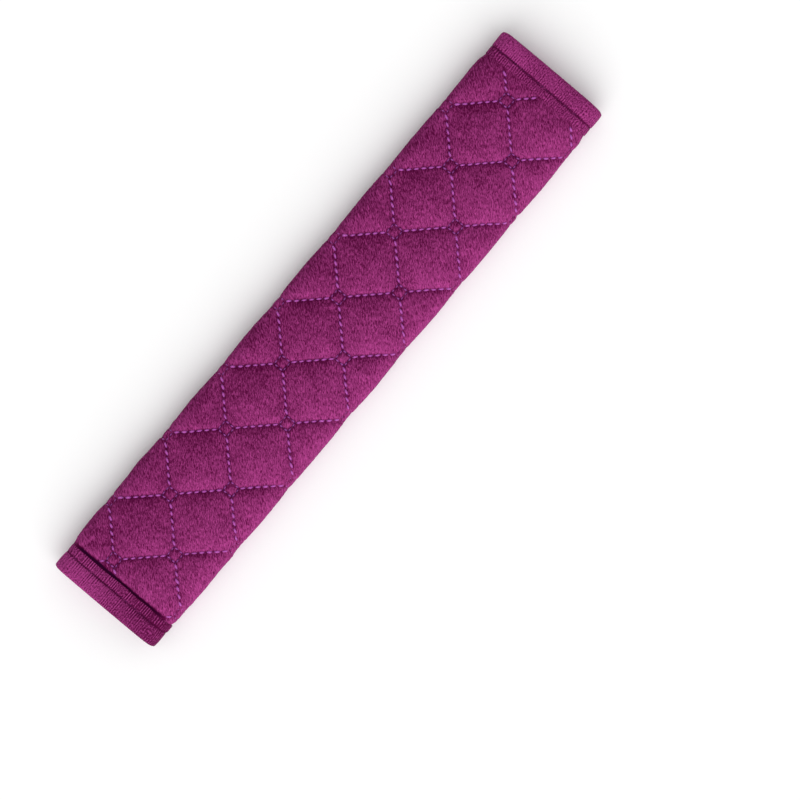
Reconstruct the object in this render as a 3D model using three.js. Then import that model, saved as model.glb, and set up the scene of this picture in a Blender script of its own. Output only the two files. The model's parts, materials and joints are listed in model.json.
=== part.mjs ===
// Seat belt shoulder pad: a quilted strip of three layers (plush cover, wadding,
// lining), bound at both ends and folded into a flat sleeve round the belt.
// Its long edges overlap on the back and close with a hook tape on a loop tape.
// Millimetres. X runs across the pad, Y along it, Z up. It lies on its back.
import * as THREE from 'three';

// Overall size
const padLength = 342;
const padWidth = 65;

// Layers
const liningThickness = 0.5;
const waddingAtStitch = 0.6;
const waddingFront = 2.9;
const waddingBack = 2.4;
const coverThickness = 1.0;
const clearance = 0.3;

// Sleeve
const passageHeight = 6.2;
const overlap = 24;
const overlapCentreX = -5;
const neutralOffset = 2.0;
const foldStep = 36 * Math.PI / 180;
const turnedEdge = 1.0;
const turnedEdgeSlope = 0.6;

// Quilting: diamonds with a small stitched square at every crossing
const diamondSide = 30;
const crossingSquare = 5.6;
const crossingColumnX = -8.8;
const crossingRowFromTop = 25.2;
const puffReach = 11;
const threadThickness = 0.5;

// How finely the surfaces are divided
const closestSectionMark = 0.25;
const closestLengthMark = 1.5;
const closestCrossing = 0.4;
const stitchTolerance = 0.6;

// Tape closure
const tapeWidth = 20;
const hookThickness = 1.0;
const loopThickness = 1.0;
const tapeSeamInset = 2;
const tapeSeamRise = 0.3;
const tapeEndClearance = 0.6;

// End bindings: a knitted tape folded round each end
const bindingWidth = 14.2;
const bindingInnerWidth = 12;
const bindingThickness = 0.6;
const bindingEndThickness = 0.8;
const bindingBulge = 0.8;
const bindingBulgeOnBack = 0.15;
const bindingSeamFromEnd = 9.5;
const bindingSeamHalfWidth = 1.1;
const puffRiseAtBinding = 7;

// Finishes
const plushFinish = { color: '#8b2d6c', roughness: 0.95, metalness: 0 };
const waddingFinish = { color: '#ece9e4', roughness: 1, metalness: 0 };
const liningFinish = { color: '#4b2440', roughness: 0.9, metalness: 0 };
const bindingFinish = { color: '#842a68', roughness: 0.9, metalness: 0 };
const threadFinish = { color: '#9a48b4', roughness: 0.5, metalness: 0 };
const tapeFinish = { color: '#2b2029', roughness: 0.8, metalness: 0 };

// Worked out: how thick the layers are together, at a stitch and in a puff
const layersUnderWadding = liningThickness + clearance;
const layersOverWadding = clearance + coverThickness;
const thinPad = layersUnderWadding + waddingAtStitch + layersOverWadding;
const frontPad = layersUnderWadding + waddingFront + layersOverWadding;
const backPad = layersUnderWadding + waddingBack + layersOverWadding;

// Worked out: the height of each panel's lining face
const overFlapZ = backPad;
const hookZ = overFlapZ + clearance;
const loopZ = hookZ + hookThickness + clearance;
const underFlapZ = loopZ + loopThickness + clearance + thinPad;
const frontZ = underFlapZ + passageHeight;

// Worked out: the two folds, and the distance round the section at each mark
const leftRadius = (frontZ - underFlapZ) / 2;
const rightRadius = (frontZ - overFlapZ) / 2;
const leftFoldX = -padWidth / 2 + leftRadius + frontPad;
const rightFoldX = padWidth / 2 - rightRadius - frontPad;
const leftFoldEnd = leftFoldX - Math.PI * (leftRadius + neutralOffset);
const rightFoldEnd = rightFoldX + Math.PI * (rightRadius + neutralOffset);
const underEdgeX = overlapCentreX + overlap / 2;
const overEdgeX = overlapCentreX - overlap / 2;
const underEdge = leftFoldEnd - (underEdgeX - leftFoldX);
const overEdge = rightFoldEnd + (rightFoldX - overEdgeX);

// Worked out: the quilting pattern and the ends
const halfPitch = diamondSide / Math.SQRT2;
const squareHalf = crossingSquare / 2;
const crossingRowY = padLength / 2 - crossingRowFromTop;
const layerEndY = padLength / 2 - bindingEndThickness - clearance;
const bindingEdgeY = padLength / 2 - bindingWidth;
const bindingSeamY = padLength / 2 - bindingSeamFromEnd;
const tapeLength = 2 * (bindingEdgeY - tapeEndClearance);

// Worked out: where the tapes are sewn, as distances round the section
const loopTapeStart = leftFoldEnd - (overlapCentreX - tapeWidth / 2 - leftFoldX);
const overTapeMiddle = rightFoldEnd + (rightFoldX - overlapCentreX);
const tapeSeams = [-1, 1].map((side) => overTapeMiddle + side * (tapeWidth / 2 - tapeSeamInset));

// A point of the folded pad. round is the distance round the section from the
// middle of the front, along is Y, and out is the height over the lining's face.
function fold(round, along, out) {
  if (round < leftFoldEnd) {
    return new THREE.Vector3(leftFoldX + leftFoldEnd - round, along, underFlapZ - out);
  }
  if (round > rightFoldEnd) {
    return new THREE.Vector3(rightFoldX + rightFoldEnd - round, along, overFlapZ - out);
  }
  const isLeft = round < leftFoldX;
  const isRight = round > rightFoldX;
  if (!isLeft && !isRight) {
    return new THREE.Vector3(round, along, frontZ + out);
  }
  const radius = isLeft ? leftRadius : rightRadius;
  const centreX = isLeft ? leftFoldX : rightFoldX;
  const angle = (round - centreX) / (radius + neutralOffset);
  const x = centreX + (radius + out) * Math.sin(angle);
  const z = frontZ - radius + (radius + out) * Math.cos(angle);
  return new THREE.Vector3(x, along, z);
}

// How far the padding stands up on the front (1) and on the back (0): it eases
// from one to the other round the lower half of each fold.
function frontShare(round) {
  const start = round < 0 ? leftFoldX : rightFoldX;
  const end = round < 0 ? leftFoldEnd : rightFoldEnd;
  const turned = (round - start) / (end - start);
  return THREE.MathUtils.clamp(2 - 2 * turned, 0, 1);
}

// Distance to the nearest stitch line, inside the eight-sided cell that the
// lines and the little squares leave.
function stitchDistance(round, along) {
  const across = (round - crossingColumnX) / halfPitch;
  const up = (along - crossingRowY) / halfPitch;
  let column = Math.round(across);
  let row = Math.round(up);
  if ((column + row) % 2 === 0) {
    if (Math.abs(across - column) > Math.abs(up - row)) {
      column += across > column ? 1 : -1;
    } else {
      row += up > row ? 1 : -1;
    }
  }
  const dx = Math.abs(across - column) * halfPitch;
  const dy = Math.abs(up - row) * halfPitch;
  const toDiagonal = (halfPitch - dx - dy) / Math.SQRT2;
  const toSquare = halfPitch - squareHalf - Math.max(dx, dy);
  return Math.max(0, Math.min(toDiagonal, toSquare));
}

// How much of the rise the tapes leave: none over the loop tape, and a little in
// the grooves where the hook tape's seams pull the pad in.
function tapeHold(round) {
  if (round <= loopTapeStart + 0.01) return 0;
  return tapeSeams.some((seam) => Math.abs(round - seam) < 0.01) ? tapeSeamRise : 1;
}

// The rise of a puff, from 0 on a stitch line to 1 on its round top. On the back
// the tops are pressed flat. The bindings and the tape hold the pad down.
function puff(round, along) {
  const reach = Math.min(1, stitchDistance(round, along) / puffReach);
  const dome = 1 - (1 - reach) ** 2;
  const pressed = Math.min(1, dome / 0.75);
  const share = frontShare(round);
  const atBinding = (bindingEdgeY - Math.abs(along)) / puffRiseAtBinding;
  const held = THREE.MathUtils.clamp(atBinding, 0, 1) ** 0.5;
  return (share * dome + (1 - share) * pressed) * held * tapeHold(round);
}

function waddingThickness(round, along) {
  const share = frontShare(round);
  const full = share * waddingFront + (1 - share) * waddingBack;
  return waddingAtStitch + (full - waddingAtStitch) * puff(round, along);
}

const waddingTop = (round, along) => layersUnderWadding + waddingThickness(round, along);
const coverInside = (round, along) => waddingTop(round, along) + clearance;
const coverOutside = (round, along) => coverInside(round, along) + coverThickness;

// Marks along one direction: the pattern's own marks between two ends, and then
// the fixed ones, which push out a pattern mark that lies too close.
function marksBetween(low, high, origin, fixed, closest) {
  const marks = [];
  const first = Math.floor((low - origin) / halfPitch) - 1;
  const last = Math.ceil((high - origin) / halfPitch) + 1;
  for (let index = first; index <= last; index += 1) {
    const crossing = origin + index * halfPitch;
    marks.push(crossing - squareHalf, crossing + squareHalf, crossing + halfPitch / 2);
  }
  const isClear = (mark) => fixed.every((other) => Math.abs(mark - other) > closest);
  const inside = marks.filter((mark) => mark > low && mark < high && isClear(mark));
  return [...inside, ...fixed].sort((a, b) => a - b);
}

// Where the section is divided: the pattern's marks, steps round both folds, the
// tape's seams and the edges.
function sectionMarks() {
  const fixed = [underEdge, overEdge, loopTapeStart, ...tapeSeams];
  const edgeMarks = [turnedEdge, turnedEdge + turnedEdgeSlope, turnedEdge + 2 * turnedEdgeSlope];
  for (const inset of edgeMarks) {
    fixed.push(underEdge + inset, overEdge - inset);
  }
  const marks = marksBetween(underEdge, overEdge, crossingColumnX, fixed, closestSectionMark);
  const folds = [
    [leftFoldEnd, leftFoldX, leftRadius],
    [rightFoldX, rightFoldEnd, rightRadius],
  ];
  for (const [low, high, radius] of folds) {
    const step = foldStep * (radius + neutralOffset);
    if (marks.every((mark) => Math.abs(mark - low) > step / 3)) marks.push(low);
    if (marks.every((mark) => Math.abs(mark - high) > step / 3)) marks.push(high);
    marks.sort((a, b) => a - b);
    const inFold = marks.filter((mark) => mark > low - step / 3 && mark < high + step / 3);
    for (let index = 1; index < inFold.length; index += 1) {
      const gap = inFold[index] - inFold[index - 1];
      const parts = Math.round(gap / step);
      for (let part = 1; part < parts; part += 1) marks.push(inFold[index - 1] + gap * part / parts);
    }
  }
  return marks.sort((a, b) => a - b);
}

const section = sectionMarks();

// The marks along the pad for one line of the section: the pattern's rows, and
// each point where that line crosses a row of stitching.
function lengthMarks(round, endY) {
  const fixed = [-endY, -bindingEdgeY, bindingEdgeY, endY];
  if (round < loopTapeStart - 0.01) return fixed;
  const marks = marksBetween(-bindingEdgeY, bindingEdgeY, crossingRowY, fixed, closestLengthMark);
  const across = round - crossingColumnX;
  const diamonds = Math.ceil(padLength / halfPitch);
  for (let diamond = -diamonds; diamond <= diamonds; diamond += 1) {
    for (const crossing of [across, -across]) {
      const mark = crossingRowY + crossing + 2 * diamond * halfPitch;
      const isInside = Math.abs(mark) < bindingEdgeY - 1;
      if (isInside && marks.every((other) => Math.abs(other - mark) > closestCrossing)) marks.push(mark);
    }
  }
  return marks.sort((a, b) => a - b);
}

// True if the line between two points of the flat pattern is a line of stitching,
// or as near to one as the marks at a binding allow
function isStitched(a, b) {
  const offDiagonal = Math.abs(Math.abs(a[0] - b[0]) - Math.abs(a[1] - b[1]));
  if (offDiagonal > stitchTolerance) return false;
  return stitchDistance((3 * a[0] + b[0]) / 4, (3 * a[1] + b[1]) / 4) < stitchTolerance;
}

// Fills the strip between two lines of points, from bottom to top, taking a line
// of stitching as an edge where there is one and the shorter edge elsewhere.
function fillStrip(left, right, add) {
  let i = 0;
  let j = 0;
  while (i < left.length - 1 || j < right.length - 1) {
    const nextLeft = left[i + 1];
    const nextRight = right[j + 1];
    let takeLeft = nextLeft !== undefined;
    if (nextLeft && nextRight) {
      const leftStitched = isStitched(nextLeft.flat, right[j].flat);
      const rightStitched = isStitched(left[i].flat, nextRight.flat);
      const leftReach = Math.abs(nextLeft.flat[1] - right[j].flat[1]);
      const rightReach = Math.abs(nextRight.flat[1] - left[i].flat[1]);
      takeLeft = leftStitched === rightStitched ? leftReach <= rightReach : leftStitched;
    }
    if (takeLeft) {
      add(left[i].id, right[j].id, nextLeft.id);
      i += 1;
    } else {
      add(left[i].id, right[j].id, nextRight.id);
      j += 1;
    }
  }
}

// One closed layer of the pad between an inside and an outside height. A face
// without relief keeps only its corner points on the lines between the edges.
function layerGeometry({ rounds, endY, inside, outside, insideRelief, outsideRelief }) {
  const positions = [];
  const triangles = [];
  const addPoint = (round, along, out) => {
    const point = fold(round, along, out);
    positions.push(point.x, point.y, point.z);
    return { id: positions.length / 3 - 1, flat: [round, along] };
  };
  const addTriangle = (a, b, c) => triangles.push(a, b, c);
  const isPlain = !insideRelief && !outsideRelief;
  const addFace = (height, relief) => rounds.map((round, index) => {
    const isEdge = index === 0 || index === rounds.length - 1;
    const isFull = relief || (isEdge && !isPlain);
    const marks = isFull ? lengthMarks(round, endY) : [-endY, endY];
    return marks.map((along) => addPoint(round, along, height(round, along)));
  });
  const inner = addFace(inside, insideRelief);
  const outer = addFace(outside, outsideRelief);
  for (let index = 1; index < rounds.length; index += 1) {
    fillStrip(outer[index - 1], outer[index], (a, b, c) => addTriangle(a, b, c));
    fillStrip(inner[index - 1], inner[index], (a, b, c) => addTriangle(a, c, b));
    for (const end of [0, -1]) {
      const [a, b] = [outer[index - 1].at(end).id, outer[index].at(end).id];
      const [c, d] = [inner[index - 1].at(end).id, inner[index].at(end).id];
      if (end === 0) {
        addTriangle(a, c, b);
        addTriangle(b, c, d);
      } else {
        addTriangle(a, b, c);
        addTriangle(b, d, c);
      }
    }
  }
  for (const edge of [0, rounds.length - 1]) {
    for (let index = 1; index < outer[edge].length; index += 1) {
      const [a, b] = [outer[edge][index - 1].id, outer[edge][index].id];
      const [c, d] = [inner[edge][index - 1].id, inner[edge][index].id];
      if (edge === 0) {
        addTriangle(a, b, c);
        addTriangle(b, d, c);
      } else {
        addTriangle(a, c, b);
        addTriangle(b, c, d);
      }
    }
  }
  return closedGeometry(positions, triangles);
}

function closedGeometry(positions, triangles) {
  const geometry = new THREE.BufferGeometry();
  geometry.setAttribute('position', new THREE.Float32BufferAttribute(positions, 3));
  geometry.setIndex(triangles);
  geometry.computeVertexNormals();
  return geometry;
}

// A ring of points carried along a line of stations, closed with a cap at each
// end. rings is a list of rings, all with the same number of points.
function sweptGeometry(rings, capOutline) {
  const size = rings[0].length;
  const positions = rings.flat().flatMap((point) => [point.x, point.y, point.z]);
  const triangles = [];
  for (let ring = 1; ring < rings.length; ring += 1) {
    for (let index = 0; index < size; index += 1) {
      const next = (index + 1) % size;
      const [a, b] = [(ring - 1) * size + index, (ring - 1) * size + next];
      const [c, d] = [ring * size + index, ring * size + next];
      triangles.push(a, c, b, b, c, d);
    }
  }
  const isClockwise = THREE.ShapeUtils.isClockWise(capOutline);
  const last = (rings.length - 1) * size;
  for (const face of THREE.ShapeUtils.triangulateShape(capOutline, [])) {
    const [a, b, c] = isClockwise ? face.toReversed() : face;
    triangles.push(a, b, c);
    triangles.push(last + a, last + c, last + b);
  }
  const geometry = closedGeometry(positions, triangles);
  if (signedVolume(geometry) < 0) geometry.setIndex(triangles.toReversed());
  return geometry;
}

function signedVolume(geometry) {
  const points = geometry.getAttribute('position');
  const index = geometry.getIndex();
  const corners = [new THREE.Vector3(), new THREE.Vector3(), new THREE.Vector3()];
  let volume = 0;
  for (let start = 0; start < index.count; start += 3) {
    corners.forEach((corner, offset) => corner.fromBufferAttribute(points, index.getX(start + offset)));
    volume += corners[0].dot(corners[1].clone().cross(corners[2])) / 6;
  }
  return volume;
}

// The three layers. The cover turns round both long edges, so the wadding and
// the lining stop short of them.
const innerRounds = section.filter((round) => {
  const inset = turnedEdge + 2 * turnedEdgeSlope - 0.01;
  return round > underEdge + inset && round < overEdge - inset;
});

function coverInsideTurned(round, along) {
  const inset = Math.min(round - underEdge, overEdge - round);
  return inset < turnedEdge + 0.01 ? 0 : coverInside(round, along);
}

function coverGeometry() {
  return layerGeometry({
    rounds: section,
    endY: layerEndY,
    inside: coverInsideTurned,
    outside: coverOutside,
    insideRelief: true,
    outsideRelief: true,
  });
}

function waddingGeometry() {
  return layerGeometry({
    rounds: innerRounds,
    endY: layerEndY,
    inside: () => layersUnderWadding,
    outside: waddingTop,
    insideRelief: false,
    outsideRelief: true,
  });
}

function liningGeometry() {
  return layerGeometry({
    rounds: innerRounds,
    endY: layerEndY,
    inside: () => 0,
    outside: () => liningThickness,
    insideRelief: false,
    outsideRelief: false,
  });
}

// The binding's section, from its free edge on the outside, round the end of the
// pad, to its free edge on the lining. Each point is [distance from the end,
// height, share of the bulge that the front has].
function bindingOutline() {
  const onCover = thinPad + clearance;
  const outside = onCover + bindingThickness;
  const onLining = -clearance;
  const inside = onLining - bindingThickness;
  const cavityEnd = bindingEndThickness;
  const seam = bindingSeamFromEnd;
  const half = bindingSeamHalfWidth;
  return [
    [bindingWidth, onCover, 0],
    [bindingWidth, outside, 0.25],
    [seam + half, outside, 0.6],
    [seam, outside, 0],
    [seam - half, outside, 0.75],
    [seam / 2, outside, 1],
    [cavityEnd * 2, outside, 0.75],
    [0, onCover - bindingThickness, 0],
    [0, onLining + bindingThickness, 0],
    [cavityEnd, inside, 0],
    [bindingInnerWidth, inside, 0],
    [bindingInnerWidth, onLining, 0],
    [cavityEnd, onLining, 0],
    [cavityEnd, onCover, 0],
  ];
}

function bindingGeometry(end) {
  const outline = bindingOutline();
  const heightAt = (height, bulge, round) => {
    const share = Math.max(frontShare(round), bindingBulgeOnBack);
    return height + bulge * bindingBulge * share;
  };
  const rings = section.map((round) => outline.map(([fromEnd, height, bulge]) => {
    return fold(round, end * (padLength / 2 - fromEnd), heightAt(height, bulge, round));
  }));
  const cap = outline.map(([fromEnd, height, bulge]) => {
    return new THREE.Vector2(fromEnd, heightAt(height, bulge, underEdge));
  });
  return sweptGeometry(rings, cap);
}

// A thread along a line of the flat pattern, lying a little over the pad's outside.
// It is four-sided, mitred where the line turns, and follows each step of a fold.
function threadGeometry(line, lift) {
  const path = [line[0]];
  for (let index = 1; index < line.length; index += 1) {
    path.push(...foldSteps(line[index - 1], line[index]), line[index]);
  }
  const half = threadThickness / 2;
  const rings = path.map((point, index) => {
    const before = path[Math.max(0, index - 1)];
    const after = path[Math.min(path.length - 1, index + 1)];
    const intoPoint = new THREE.Vector2(point[0] - before[0], point[1] - before[1]).normalize();
    const outOfPoint = new THREE.Vector2(after[0] - point[0], after[1] - point[1]).normalize();
    const along = intoPoint.clone().add(outOfPoint).normalize();
    const straight = index === 0 ? outOfPoint : intoPoint;
    const width = half / Math.max(0.5, Math.abs(along.dot(straight)));
    const [sideX, sideY] = [along.y * width, -along.x * width];
    return [
      fold(point[0], point[1], lift),
      fold(point[0] + sideX, point[1] + sideY, lift + half),
      fold(point[0], point[1], lift + threadThickness),
      fold(point[0] - sideX, point[1] - sideY, lift + half),
    ];
  });
  const cap = [[0, -half], [half, 0], [0, half], [-half, 0]].map(([x, y]) => new THREE.Vector2(x, y));
  return sweptGeometry(rings, cap);
}

// The points where a straight run of thread crosses the steps of a fold
function foldSteps(from, to) {
  const [low, high] = [Math.min(from[0], to[0]), Math.max(from[0], to[0])];
  const isOnFold = (round) => {
    const onLeft = round > leftFoldEnd - foldMargin && round < leftFoldX + foldMargin;
    const onRight = round > rightFoldX - foldMargin && round < rightFoldEnd + foldMargin;
    return onLeft || onRight;
  };
  const steps = section.filter((round) => round > low + 0.05 && round < high - 0.05 && isOnFold(round));
  if (from[0] > to[0]) steps.reverse();
  return steps.map((round) => {
    const share = (round - from[0]) / (to[0] - from[0]);
    return [round, from[1] + share * (to[1] - from[1])];
  });
}

const foldMargin = 8;

// One zigzag of quilting between a column of crossings and the next. It runs up
// one side of each little square that it meets.
function quiltingLine(column) {
  const left = crossingColumnX + column * halfPitch + squareHalf;
  const right = crossingColumnX + (column + 1) * halfPitch - squareHalf;
  const limit = bindingEdgeY - clearance - threadThickness;
  const count = Math.ceil(padLength / halfPitch);
  const line = [];
  for (let row = -count; row <= count; row += 1) {
    const round = (row + column) % 2 === 0 ? left : right;
    const middle = crossingRowY + row * halfPitch;
    line.push([round, middle - squareHalf], [round, middle + squareHalf]);
  }
  return cutToLength(line, limit);
}

// The part of a rising line that lies between -limit and limit
function cutToLength(line, limit) {
  const kept = line.filter((point) => Math.abs(point[1]) < limit);
  const first = line.indexOf(kept[0]);
  const last = first + kept.length - 1;
  const endAt = (inside, outside, along) => {
    const share = (along - inside[1]) / (outside[1] - inside[1]);
    return [inside[0] + share * (outside[0] - inside[0]), along];
  };
  return [endAt(line[first], line[first - 1], -limit), ...kept, endAt(line[last], line[last + 1], limit)];
}

function bindingSeamLine(end) {
  const inset = threadThickness;
  return [[underEdge + inset, end * bindingSeamY], [overEdge - inset, end * bindingSeamY]];
}

// A flat tape lying between the two flaps
function tapeGeometry(bottomZ, thickness) {
  const geometry = new THREE.BoxGeometry(tapeWidth, tapeLength, thickness);
  geometry.translate(overlapCentreX, 0, bottomZ + thickness / 2);
  return geometry;
}

const pad = new THREE.Group();

function addPart(name, geometry, finish) {
  const mesh = new THREE.Mesh(geometry, new THREE.MeshStandardMaterial(finish));
  mesh.name = name;
  pad.add(mesh);
}

addPart('plush_cover', coverGeometry(), plushFinish);
addPart('wadding', waddingGeometry(), waddingFinish);
addPart('lining', liningGeometry(), liningFinish);
addPart('binding_top', bindingGeometry(1), bindingFinish);
addPart('binding_bottom', bindingGeometry(-1), bindingFinish);
addPart('hook_tape', tapeGeometry(hookZ, hookThickness), tapeFinish);
addPart('loop_tape', tapeGeometry(loopZ, loopThickness), tapeFinish);

const onCover = thinPad + clearance;
const onQuilting = onCover + threadThickness + clearance;
const onBinding = onCover + bindingThickness + clearance;
addPart('binding_seam_top', threadGeometry(bindingSeamLine(1), onBinding), threadFinish);
addPart('binding_seam_bottom', threadGeometry(bindingSeamLine(-1), onBinding), threadFinish);

const firstColumn = Math.ceil((loopTapeStart + clearance - crossingColumnX) / halfPitch);
const lastColumn = Math.floor((overEdge - crossingColumnX) / halfPitch);
for (let column = firstColumn; column < lastColumn; column += 1) {
  const name = `quilting_thread_${column - firstColumn + 1}`;
  addPart(name, threadGeometry(quiltingLine(column), onCover), threadFinish);
}

tapeSeams.forEach((seam, index) => {
  const end = tapeLength / 2;
  const line = [[seam, -end], [seam, end]];
  addPart(`tape_seam_${index + 1}`, threadGeometry(line, onQuilting), threadFinish);
});

// The origin is the middle of the pad's bottom
const box = new THREE.Box3().setFromObject(pad);
pad.position.set(-(box.min.x + box.max.x) / 2, 0, -box.min.z);

export default pad;
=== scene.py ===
# %% [markdown]
# # A quilted seat belt shoulder pad
#
# The pad is a strip of soft laminate: a plush cover, wadding and a lining, sewn together in a
# diamond pattern. A ribbed knitted tape binds both ends. The strip is folded into a flat sleeve
# round the belt, and its long edges overlap on the back and close with hook and loop tape.
#
# The lesson makes it in the same order as the workshop does. It sews and stuffs the strip flat,
# then folds it, binds it and adds the stitches. The folded solids of the frame say where
# everything goes.

# %% The frame
import json
import bpy
import numpy as np
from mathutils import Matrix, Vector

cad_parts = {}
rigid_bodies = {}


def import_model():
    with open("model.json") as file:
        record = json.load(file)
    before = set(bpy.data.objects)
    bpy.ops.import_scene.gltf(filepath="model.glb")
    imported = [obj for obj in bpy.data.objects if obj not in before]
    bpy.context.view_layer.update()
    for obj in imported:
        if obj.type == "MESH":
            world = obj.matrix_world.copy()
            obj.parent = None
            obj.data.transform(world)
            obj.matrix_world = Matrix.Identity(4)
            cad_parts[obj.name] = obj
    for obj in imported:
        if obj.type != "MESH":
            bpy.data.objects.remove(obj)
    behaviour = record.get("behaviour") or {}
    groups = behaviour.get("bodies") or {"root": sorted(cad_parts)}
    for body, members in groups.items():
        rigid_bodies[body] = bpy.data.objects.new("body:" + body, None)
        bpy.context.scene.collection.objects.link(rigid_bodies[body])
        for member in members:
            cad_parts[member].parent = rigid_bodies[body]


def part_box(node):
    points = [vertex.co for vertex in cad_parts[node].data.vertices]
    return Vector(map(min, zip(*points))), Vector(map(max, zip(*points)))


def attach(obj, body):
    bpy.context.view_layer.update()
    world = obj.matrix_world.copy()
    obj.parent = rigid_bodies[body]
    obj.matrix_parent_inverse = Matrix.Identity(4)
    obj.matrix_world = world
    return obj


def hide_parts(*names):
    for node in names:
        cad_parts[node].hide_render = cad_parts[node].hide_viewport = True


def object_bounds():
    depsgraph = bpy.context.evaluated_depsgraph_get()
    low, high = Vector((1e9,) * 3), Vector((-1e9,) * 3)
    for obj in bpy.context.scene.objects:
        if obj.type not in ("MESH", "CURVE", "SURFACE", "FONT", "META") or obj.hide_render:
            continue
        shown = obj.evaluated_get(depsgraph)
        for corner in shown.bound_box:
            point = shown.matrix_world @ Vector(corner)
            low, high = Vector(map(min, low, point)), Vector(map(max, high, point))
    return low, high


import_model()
cad_low, cad_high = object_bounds()
print("the solids reach from", tuple(cad_low), "to", tuple(cad_high))

# %% [markdown]
# ## Sizes
#
# All sizes are in millimetres, and a mesh is turned to metres when it is made. The heights of the
# folded panels are read from the solids, so the cloth lies where the frame has it.

# %% Sizes of the folded strip
MM = 0.001


def box_mm(node):
    """Lowest and highest corner of a solid, in millimetres."""
    low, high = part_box(node)
    return np.array(low) / MM, np.array(high) / MM


hook_low, hook_high = box_mm("hook_tape")
binding_low, binding_high = box_mm("binding_top")
_, loop_high = box_mm("loop_tape")
_, lining_high = box_mm("lining")

TOUCH = 0.3         # the gap that the solids keep between layers
THIN = 2.7          # the laminate's thickness under a stitch
LINING = 0.5        # the lining's share of it
TAPE_WIDTH = hook_high[0] - hook_low[0]
TAPE_END = hook_high[1]
PAD_END = binding_high[1]
BINDING_EDGE = binding_low[1]
BINDING_WIDTH = PAD_END - BINDING_EDGE

TAPE_X = (hook_low[0] + hook_high[0]) / 2
MIDDLE_X = TAPE_X + 5.0  # the tapes lie a little left of the middle
HALF_WIDTH = 32.5
OVER_Z = hook_low[2] - TOUCH  # the lining's height in the outer flap, the inner one, the front
UNDER_Z = loop_high[2] + TOUCH + THIN
FRONT_Z = lining_high[2] - LINING
FRONT_PUFF = cad_high[2] / MM - FRONT_Z
BACK_PUFF = OVER_Z

LEFT_RADIUS = (FRONT_Z - UNDER_Z) / 2
RIGHT_RADIUS = (FRONT_Z - OVER_Z) / 2
NEUTRAL = 2.0       # the height in the laminate that keeps its length when folded
LEFT_X = MIDDLE_X - HALF_WIDTH + LEFT_RADIUS + FRONT_PUFF
RIGHT_X = MIDDLE_X + HALF_WIDTH - RIGHT_RADIUS - FRONT_PUFF
LEFT_END = LEFT_X - np.pi * (LEFT_RADIUS + NEUTRAL)
RIGHT_END = RIGHT_X + np.pi * (RIGHT_RADIUS + NEUTRAL)
OVERLAP = 24.0      # how far the outer flap lies over the inner one
UNDER_EDGE = LEFT_END - (TAPE_X + OVERLAP / 2 - LEFT_X)
OVER_EDGE = RIGHT_END + (RIGHT_X - TAPE_X + OVERLAP / 2)
LOOP_START = LEFT_END - (TAPE_X - TAPE_WIDTH / 2 - LEFT_X)
TAPE_MIDDLE = RIGHT_END + (RIGHT_X - TAPE_X)
SEAM_OFFSET = TAPE_WIDTH / 2 - 2.0
TAPE_SEAMS = (TAPE_MIDDLE - SEAM_OFFSET, TAPE_MIDDLE + SEAM_OFFSET)
CROWN = 0.12        # how much lower the pad is at its sides than a flat one
CORNER = 0.008      # how far the corners are drawn in, as a share of half the length

print(f"strip {OVER_EDGE - UNDER_EDGE:.1f} mm wide before folding, pad {2 * PAD_END:.1f} mm long")

# %% [markdown]
# ## Folding
#
# A point of the flat strip has a distance round the section, a distance along the pad and a
# height over the lining. `fold` carries it to its place: flat on the front, round an arc at each
# fold, and flat again on the back. Every piece goes through it, so they all stay together.


# %% The fold
def fold(around, along, out):
    """Flat strip to folded pad, in millimetres. On the front x is the distance round and z the
    panel's height plus out. On a fold the angle is the distance past the fold's start over the
    radius of the neutral height. Past half a turn the strip runs straight back. Last, heights
    shrink with the square of the distance from the middle, which crowns the front, and the
    four corners are drawn in a little."""
    around, along, out = np.broadcast_arrays(around, along, out)
    on_left = around < MIDDLE_X
    centre = np.where(on_left, LEFT_X, RIGHT_X)
    radius = np.where(on_left, LEFT_RADIUS, RIGHT_RADIUS)
    turn = np.clip((around - centre) / (radius + NEUTRAL), -np.pi, np.pi)
    turn = np.where((around > LEFT_X) & (around < RIGHT_X), 0, turn)
    past = around - centre - turn * (radius + NEUTRAL)
    x = centre + (radius + out) * np.sin(turn) + past * np.cos(turn)
    z = FRONT_Z - radius + (radius + out) * np.cos(turn)
    to_side = np.abs(x - MIDDLE_X) / HALF_WIDTH
    z = z * (1 - CROWN * to_side**2)
    y = along * (1 - CORNER * np.clip((to_side - 0.9) / 0.1, 0, 1) ** 2 * (along / PAD_END) ** 40)
    return np.stack([x, y, z], axis=-1)


def front_share(around):
    """1 on the front and the upper half of each fold, easing to 0 on the back."""
    start = np.where(around < MIDDLE_X, LEFT_X, RIGHT_X)
    end = np.where(around < MIDDLE_X, LEFT_END, RIGHT_END)
    return np.clip(2 - 2 * (around - start) / (end - start), 0, 1)


def side_share(around):
    """1 at the outermost line of each fold, easing to 0 where the fold begins and ends: the
    square of the sine of the angle turned. The cloth is stretched tight there, so seams hardly
    mark it."""
    start = np.where(around < MIDDLE_X, LEFT_X, RIGHT_X)
    end = np.where(around < MIDDLE_X, LEFT_END, RIGHT_END)
    return np.sin(np.pi * np.clip((around - start) / (end - start), 0, 1)) ** 2


# %% [markdown]
# ## The quilting pattern
#
# Two families of stitch lines cross at right angles and leave diamonds of 29.8 mm a side. Each
# crossing is drawn as a little square, so every diamond is really an eight-sided cell. The strip
# was cut a touch askew to the pattern, as on the real pad, so the pattern leans a little.

# %% Sizes of the pattern
DIAMOND = 29.8
HALF_PITCH = DIAMOND / np.sqrt(2)
STEP = HALF_PITCH / 15  # the simulated cloth's grid
SQUARE = 2 * STEP   # half the side of a little square
COLUMN_X = MIDDLE_X - 9.6  # the place of one crossing, from which all are counted
ROW_Y = PAD_END - 25.8
LEAN = 0.0075       # how far it is carried sideways for each unit along the pad


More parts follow.
